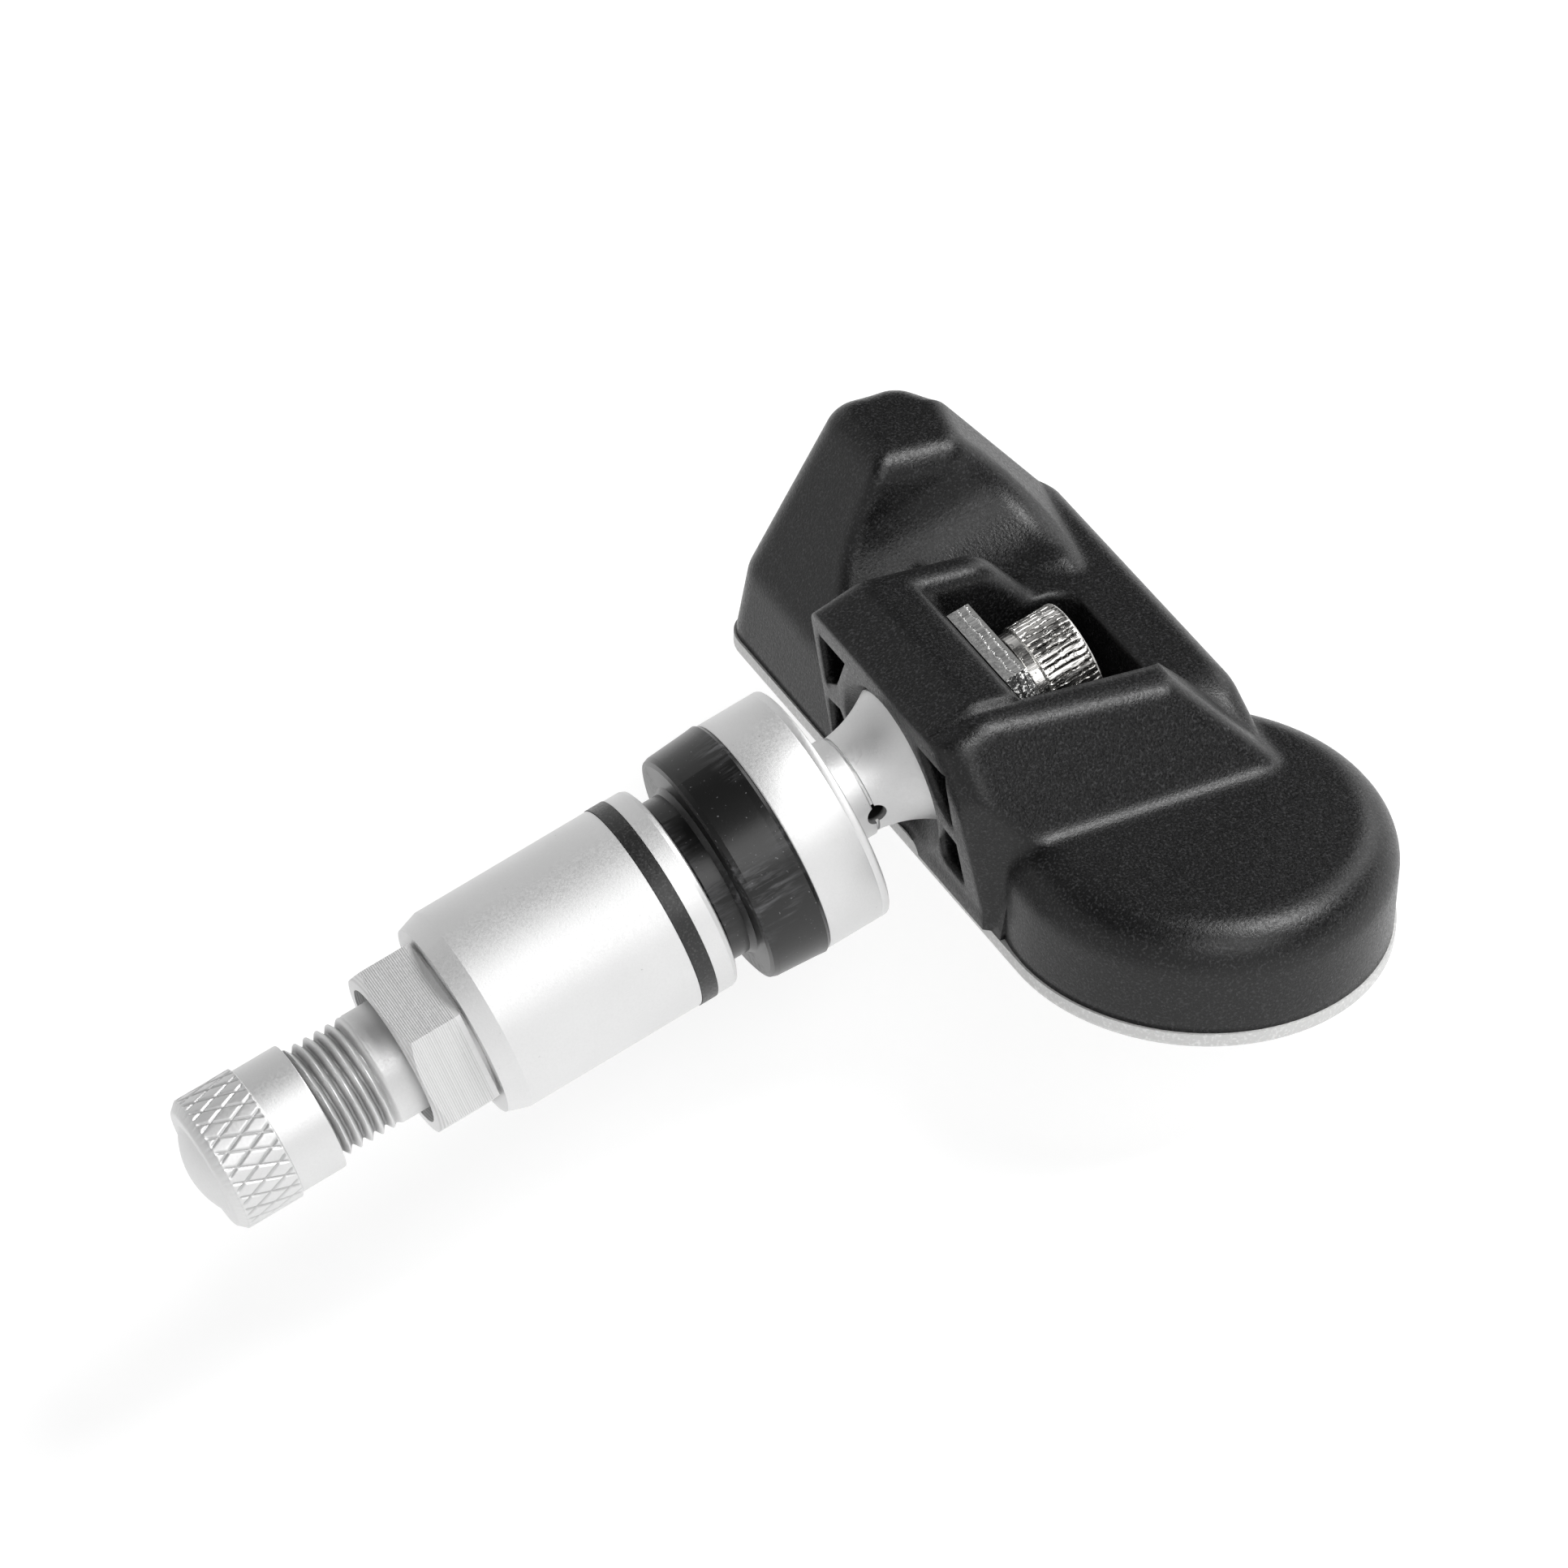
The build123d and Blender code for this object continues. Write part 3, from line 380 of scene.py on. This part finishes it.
# Turned pieces
def rounded(points, cuts=4):
    """A lathe profile in millimetres from (x, radius, rounding) corners, each eased by its rounding."""
    out = []
    for i, (x, r, ease) in enumerate(points):
        here = Vector((x, r))
        if ease <= 0 or i in (0, len(points) - 1):
            out.append(here)
            continue
        before = Vector(points[i - 1][:2]) - here
        after = Vector(points[i + 1][:2]) - here
        reach = min(ease, before.length * 0.45, after.length * 0.45)
        start = here + before.normalized() * reach
        end = here + after.normalized() * reach
        for k in range(cuts + 1):
            t = k / cuts
            out.append(start * (1 - t) ** 2 + here * (2 * t * (1 - t)) + end * t ** 2)
    return [(p.x, p.y) for p in out]


def fine(profile, x0, x1, step):
    """The profile with extra stations at an even step on its run from x0 to x1."""
    out = [profile[0]]
    for (xa, ra), (xb, rb) in zip(profile, profile[1:]):
        inside = min(xa, xb) >= x0 - 1e-6 and max(xa, xb) <= x1 + 1e-6
        count = max(1, math.ceil(abs(xb - xa) / step)) if inside else 1
        for k in range(1, count + 1):
            out.append((xa + (xb - xa) * k / count, ra + (rb - ra) * k / count))
    return out


def lathe(name, profile, steps, mat, shape=None, sharp=32):
    """A turned piece about the valve axis; shape may change the radius at a place and an angle."""
    verts, faces, rings = [], [], []
    for x, r in profile:
        if r < 1e-6:
            rings.append([len(verts)])
            verts.append((x * MM, 0, 0))
            continue
        ring = []
        for j in range(steps):
            a = TAU * j / steps
            rr = shape(x, r, a) if shape else r
            ring.append(len(verts))
            verts.append((x * MM, rr * math.cos(a) * MM, rr * math.sin(a) * MM))
        rings.append(ring)
    for one, two in zip(rings, rings[1:]):
        for j in range(steps):
            k = (j + 1) % steps
            if len(one) == 1 and len(two) == 1:
                continue
            if len(one) == 1:
                faces.append((one[0], two[k], two[j]))
            elif len(two) == 1:
                faces.append((one[j], one[k], two[0]))
            else:
                faces.append((one[j], one[k], two[k], two[j]))
    mesh = bpy.data.meshes.new(name)
    mesh.from_pydata(verts, [], faces)
    mesh.polygons.foreach_set("use_smooth", [True] * len(mesh.polygons))
    mesh.set_sharp_from_angle(angle=math.radians(sharp))
    mesh.materials.append(mat)
    obj = bpy.data.objects.new(name, mesh)
    bpy.context.scene.collection.objects.link(obj)
    return obj


def cut(obj, tool):
    """Takes a tool's shape out of a piece."""
    mod = obj.modifiers.new("cut", "BOOLEAN")
    mod.operation = "DIFFERENCE"
    mod.solver = "EXACT"
    mod.object = tool
    bpy.context.view_layer.update()
    dg = bpy.context.evaluated_depsgraph_get()
    made = bpy.data.meshes.new_from_object(obj.evaluated_get(dg))
    obj.modifiers.clear()
    obj.data = made
    bpy.data.objects.remove(tool)


def bar(axis, r, centre, length, sides):
    """A prism with even sides, for cutting."""
    along = Vector(axis).normalized()
    side = along.orthogonal().normalized()
    other = along.cross(side)
    verts = []
    for end in (-0.5, 0.5):
        for j in range(sides):
            a = TAU * j / sides
            p = Vector(centre) + along * (end * length) + (side * math.cos(a) + other * math.sin(a)) * r
            verts.append(p * MM)
    faces = [tuple(range(sides))[::-1], tuple(range(sides, 2 * sides))]
    for j in range(sides):
        k = (j + 1) % sides
        faces.append((j, k, k + sides, j + sides))
    mesh = bpy.data.meshes.new("tool")
    mesh.from_pydata([tuple(v) for v in verts], [], faces)
    obj = bpy.data.objects.new("tool", mesh)
    bpy.context.scene.collection.objects.link(obj)
    return obj


def arc(x0, r0, xm, rm, x1, r1, cuts):
    """Profile points on the circle through three spots."""
    d = 2 * (x0 * (rm - r1) + xm * (r1 - r0) + x1 * (r0 - rm))
    s0, sm, s1 = x0 * x0 + r0 * r0, xm * xm + rm * rm, x1 * x1 + r1 * r1
    ux = (s0 * (rm - r1) + sm * (r1 - r0) + s1 * (r0 - rm)) / d
    uy = (s0 * (x1 - xm) + sm * (x0 - x1) + s1 * (xm - x0)) / d
    rad = math.hypot(x0 - ux, r0 - uy)
    t0, tm, t1 = (math.atan2(r - uy, x - ux) for x, r in ((x0, r0), (xm, rm), (x1, r1)))
    while tm - t0 > math.pi:
        tm -= TAU
    while tm - t0 < -math.pi:
        tm += TAU
    while t1 - tm > math.pi:
        t1 -= TAU
    while t1 - tm < -math.pi:
        t1 += TAU
    turns = [t0 + (t1 - t0) * k / cuts for k in range(cuts + 1)]
    return [(ux + rad * math.cos(t), uy + rad * math.sin(t)) for t in turns]


def wave(p):
    """A triangle wave from 0 to 1 and back over each whole step of p."""
    f = p - math.floor(p)
    return 1 - abs(2 * f - 1)


def ramp(x, a, b):
    """0 before a, 1 after b, straight between."""
    return min(1.0, max(0.0, (x - a) / (b - a)))


def thread(x, a, pitch, crest, slope):
    """How deep a screw thread is cut at a place and an angle, from 0 on its flat crest to 1 in its root."""
    return min(1.0, max(0.0, (wave((x - a / TAU * pitch) / pitch) - crest) / slope))


# Valve stem: ball foot, trumpet, neck groove, disc, nut thread, plain shank and the fine tip thread
stem_r, nut_r, tip_x, disc_r, same_r = 3.85, 4.50, 35.50, 8.13, 0.02
tip_pitch, tip_deep, tip_start = 0.794, 0.44, 24.90
nut_pitch, nut_deep, nut_start, nut_stop, nut_end = 1.0, 0.50, 1.2, 19.9, 20.00
foot_r, hole_r, hole_x = 4.72, 0.70, -10.75


def stem_shape(x, r, a):
    """Cuts both threads into the stem's plain radius, with a flat crest and a rounded root."""
    if abs(r - stem_r) < same_r and x > tip_start - 0.5:
        flank = thread(x, a, tip_pitch, 0.10, 0.72)
        return r - tip_deep * flank * ramp(x, tip_start - 0.3, tip_start + 0.5)
    if abs(r - nut_r) < same_r and nut_start < x < nut_stop:
        flank = thread(x, a, nut_pitch, 0.12, 0.70)
        ends = ramp(x, nut_start, nut_start + 0.8) * (1 - ramp(x, nut_stop - 0.6, nut_stop))
        return r - nut_deep * flank * ends
    return r


ball_x, ball_r = -8.20, 8.00
ball = [(ball_x - math.sqrt(ball_r ** 2 - r * r), r) for r in (2.05, 2.6, 3.2, 3.8, 4.3, 4.62, foot_r)]
trumpet = arc(-14.50, foot_r, -12.75, 3.80, -10.82, 3.35, 14)
stem_profile = [(-12.60, 0.0), (-12.90, 2.05)] + ball + trumpet
stem_profile += rounded([
    (-10.82, 3.35, 0), (-10.82, 3.15, 0.05), (-10.60, 3.15, 0.05), (-10.60, 3.48, 0.10), (-8.55, 3.48, 0.18),
    (-8.55, disc_r, 0.55), (-8.06, disc_r, 0.0), (-7.98, disc_r - 0.04, 0.03), (-7.90, disc_r, 0.0),
    (-4.09, disc_r, 0.14), (-4.09, nut_r, 0.05), (nut_end, nut_r, 0.0), (20.50, stem_r, 0.0),
    (tip_start - 0.5, stem_r, 0.0), (tip_x - 0.40, stem_r, 0.0), (tip_x, 3.42, 0.10), (tip_x, 2.65, 0.10),
    (29.80, 2.65, 0), (28.60, 1.95, 0), (19.00, 1.95, 0), (18.60, 1.60, 0), (-11.50, 1.60, 0),
    (-11.90, 0.0, 0),
])
stem_profile = fine(stem_profile, nut_start - 2.0, nut_end, 1.2)
outer_end = next(i for i, p in enumerate(stem_profile) if p[0] > tip_x - 0.45)
dense = fine(stem_profile[:outer_end + 1], tip_start - 0.5, tip_x, tip_pitch / 12)
nut_from = next(i for i, p in enumerate(dense) if abs(p[1] - nut_r) < 0.01)
nut_to = next(i for i, p in enumerate(dense) if p[0] > nut_end + 0.2)
dense = dense[:nut_from] + fine(dense[nut_from:nut_to], -5, nut_end, nut_pitch / 8) + dense[nut_to:]
stem = lathe("stem_turned", dense + stem_profile[outer_end + 1:], 96, mats["valve"], stem_shape)
cut(stem, bar((0, 1, 0), hole_r, (hole_x, 0, 0), 12, 28))
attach(stem, "valve")
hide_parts("valve_stem")

# Valve cap: smooth skirt, diamond knurl, flat rim and domed end, hollow inside
cap_r, dome_top, dome_h, dome_r, dome_cuts = 4.60, 37.85, 0.95, 3.10, 12
knurl_x0, knurl_x1, knurl_n, knurl_deep, knurl_lead, knurl_sharp = 32.45, 36.25, 26, 0.14, 2.45, 3.6


def cap_shape(x, r, a):
    """Diamond points between two crossed sets of grooves."""
    if r > 4.5 and knurl_x0 - 0.1 < x < knurl_x1 + 0.1:
        one = wave(a / TAU * knurl_n + x / knurl_lead)
        two = wave(a / TAU * knurl_n - x / knurl_lead)
        point = min(1.0, knurl_sharp * min(one, two))
        start, stop = ramp(x, knurl_x0 - 0.1, knurl_x0 + 0.12), ramp(x, knurl_x1 - 0.12, knurl_x1 + 0.1)
        edge = start * (1 - stop)
        return r - knurl_deep * (1 - point) * edge
    return r


dome_sphere = (dome_r ** 2 + dome_h ** 2) / (2 * dome_h)
dome_steps = [dome_r * k / dome_cuts for k in range(dome_cuts, -1, -1)]
dome = [(dome_top - dome_sphere + math.sqrt(dome_sphere ** 2 - r ** 2), r) for r in dome_steps]
cap_profile = rounded([
    (36.28, 0.0, 0), (36.28, 3.90, 0.1), (29.45, 3.90, 0.05), (29.15, 4.20, 0.05), (29.15, 4.37, 0.10),
    (32.35, 4.37, 0.05), (32.42, cap_r, 0.05), (36.30, cap_r, 0.0), (36.90, 4.05, 0.15),
    (36.90, dome_r, 0.10),
]) + dome
cap_profile = fine(cap_profile, 32.40, 36.31, 0.065)
cap = lathe("cap_turned", cap_profile, knurl_n * 18, mats["cap"], cap_shape, 50)
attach(cap, "cap")
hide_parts("valve_cap")

# Clamp screw: threaded shank, plain collar and band, straight-knurled head with a hexagon socket
head_x, screw_r, screw_n, screw_deep, screw_sharp, screw_wear = -27.80, 3.50, 46, 0.22, 3.0, 0.05
shank_r, shank_pitch, shank_deep, socket_half = 2.0, 0.7, 0.30, 1.5


def screw_shape(x, r, a):
    """Straight worn knurl on the head and the thread on the shank."""
    if r > 3.4 and x < -24.4:
        edge = ramp(-x, 24.4, 24.7) * (1 - ramp(-x, 27.35, 27.6))
        wear = noise.noise(Vector((x * 1.3, 7 * math.cos(a), 7 * math.sin(a))))
        groove = 1 - min(1.0, screw_sharp * wave(a / TAU * screw_n + 0.25 * wear))
        return r - (screw_deep * groove + screw_wear * abs(wear)) * edge
    if abs(r - shank_r) < same_r and x > -22.0:
        flank = min(1.0, 1.4 * wave((x - a / TAU * shank_pitch) / shank_pitch))
        return r - shank_deep * flank * ramp(x, -21.9, -21.2)
    return r


screw_profile = rounded([
    (head_x, 0.0, 0), (head_x, screw_r, 0.32), (-24.45, screw_r, 0.03), (-24.33, 3.32, 0.03),
    (-23.60, 3.32, 0.08), (-23.60, 3.00, 0.04), (-23.03, 3.00, 0.04), (-23.03, shank_r, 0.04),
    (-13.80, shank_r, 0.0), (-13.40, 1.60, 0.0), (-13.40, 0.0, 0),
])
screw_profile = fine(fine(screw_profile, -27.5, -24.4, 0.15), -23.0, -13.7, 0.10)
screw = lathe("screw_turned", screw_profile, screw_n * 10, mats["screw"], screw_shape, 40)
cut(screw, bar((1, 0, 0), socket_half * 2 / math.sqrt(3), (head_x, 0, 0), 4.6, 6))
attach(screw, "screw")
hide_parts("clamp_screw")

# Core spring: a wire coil of fixed length in the core spring's place, carried with the valve
spring_r, wire_r, spring_turns, turn_steps, wire_sides = 0.95, 0.16, 7, 24, 10
spring_low, spring_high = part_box("core_spring")
spring_x0, spring_x1 = spring_low[0] + wire_r * MM, spring_high[0] - wire_r * MM
coil_points, coil_faces = [], []
coil_steps = spring_turns * turn_steps
for i in range(coil_steps + 1):
    a = TAU * i / turn_steps
    outward = Vector((0, math.cos(a), math.sin(a)))
    middle = outward * spring_r * MM + Vector((spring_x0 + (spring_x1 - spring_x0) * i / coil_steps, 0, 0))
    for j in range(wire_sides):
        b = TAU * j / wire_sides
        coil_points.append(middle + (outward * math.cos(b) + Vector((math.sin(b), 0, 0))) * wire_r * MM)
for i in range(coil_steps):
    for j in range(wire_sides):
        k = (j + 1) % wire_sides
        here, after = i * wire_sides, (i + 1) * wire_sides
        coil_faces.append((here + j, after + j, after + k, here + k))
coil_faces.append(tuple(range(wire_sides)))
coil_faces.append(tuple(coil_steps * wire_sides + j for j in range(wire_sides))[::-1])
coil_mesh = bpy.data.meshes.new("spring_coil")
coil_mesh.from_pydata(coil_points, [], coil_faces)
coil_mesh.polygons.foreach_set("use_smooth", [True] * len(coil_mesh.polygons))
coil_mesh.materials.append(mats["spring"])
coil = bpy.data.objects.new("spring_coil", coil_mesh)
bpy.context.scene.collection.objects.link(coil)
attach(coil, "valve")
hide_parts("core_spring")
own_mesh(coil)

# Pale floor and soft studio light
floor_gap, floor_half = 0.0040, 3.0
floor_z = cad_box[0][2] - floor_gap
corners = ((-1, -1), (1, -1), (1, 1), (-1, 1))
floor_mesh = bpy.data.meshes.new("floor")
floor_mesh.from_pydata([(x * floor_half, y * floor_half, floor_z) for x, y in corners], [], [(0, 1, 2, 3)])
floor = bpy.data.objects.new("floor", floor_mesh)
bpy.context.scene.collection.objects.link(floor)
floor_shader = Shader("floor_pale", (0.42, 0.42, 0.42), 0.9, specular=0.0)
cloudy = floor_shader.noise(3.0)
floor_shader.color(floor_shader.mix(cloudy, (0.40, 0.40, 0.40), (0.42, 0.42, 0.42)))
floor_shader.surface.inputs["Emission Color"].default_value = (1, 1, 1, 1)
floor_shader.surface.inputs["Emission Strength"].default_value = 0.72
floor_mesh.materials.append(floor_shader.mat)


def softbox(name, direction, distance, size, watts):
    """A square soft light that faces the middle of the part's frame."""
    data = bpy.data.lights.new(name, "AREA")
    data.shape = "SQUARE"
    data.size = size
    data.energy = watts
    obj = bpy.data.objects.new(name, data)
    toward = Vector(direction).normalized()
    obj.location = toward * distance
    obj.rotation_euler = toward.to_track_quat("Z", "Y").to_euler()
    bpy.context.scene.collection.objects.link(obj)


softbox("key_light", (-0.652, 0.201, 0.731), 0.60, 0.26, 2.9)
softbox("front_light", (-0.20, 0.72, 0.66), 0.70, 0.45, 1.5)
softbox("rim_light", (-0.91, -0.29, 0.27), 0.60, 0.30, 0.7)

# Surroundings: bright to one side and low down, dim to the other side and overhead
world = bpy.data.worlds.new("studio")
bpy.context.scene.world = world
world.use_nodes = True
tree = world.node_tree
place = tree.nodes.new("ShaderNodeTexCoord")
parts = tree.nodes.new("ShaderNodeSeparateXYZ")
tree.links.new(place.outputs["Generated"], parts.inputs[0])
join = tree.nodes.new("ShaderNodeMath")
join.operation = "MULTIPLY"
fades = (("X", -0.50, -0.15, 0.05, 0.74), ("Z", 0.58, 0.90, 1.0, 0.08))
for slot, (axis, start, stop, first, last) in enumerate(fades):
    fade = tree.nodes.new("ShaderNodeMapRange")
    fade.interpolation_type = "SMOOTHSTEP"
    for key, value in (("From Min", start), ("From Max", stop), ("To Min", first), ("To Max", last)):
        fade.inputs[key].default_value = value
    tree.links.new(parts.outputs[axis], fade.inputs["Value"])
    tree.links.new(fade.outputs["Result"], join.inputs[slot])
tree.links.new(join.outputs[0], tree.nodes["Background"].inputs["Strength"])
tree.nodes["Background"].inputs["Color"].default_value = (1, 1, 1, 1)
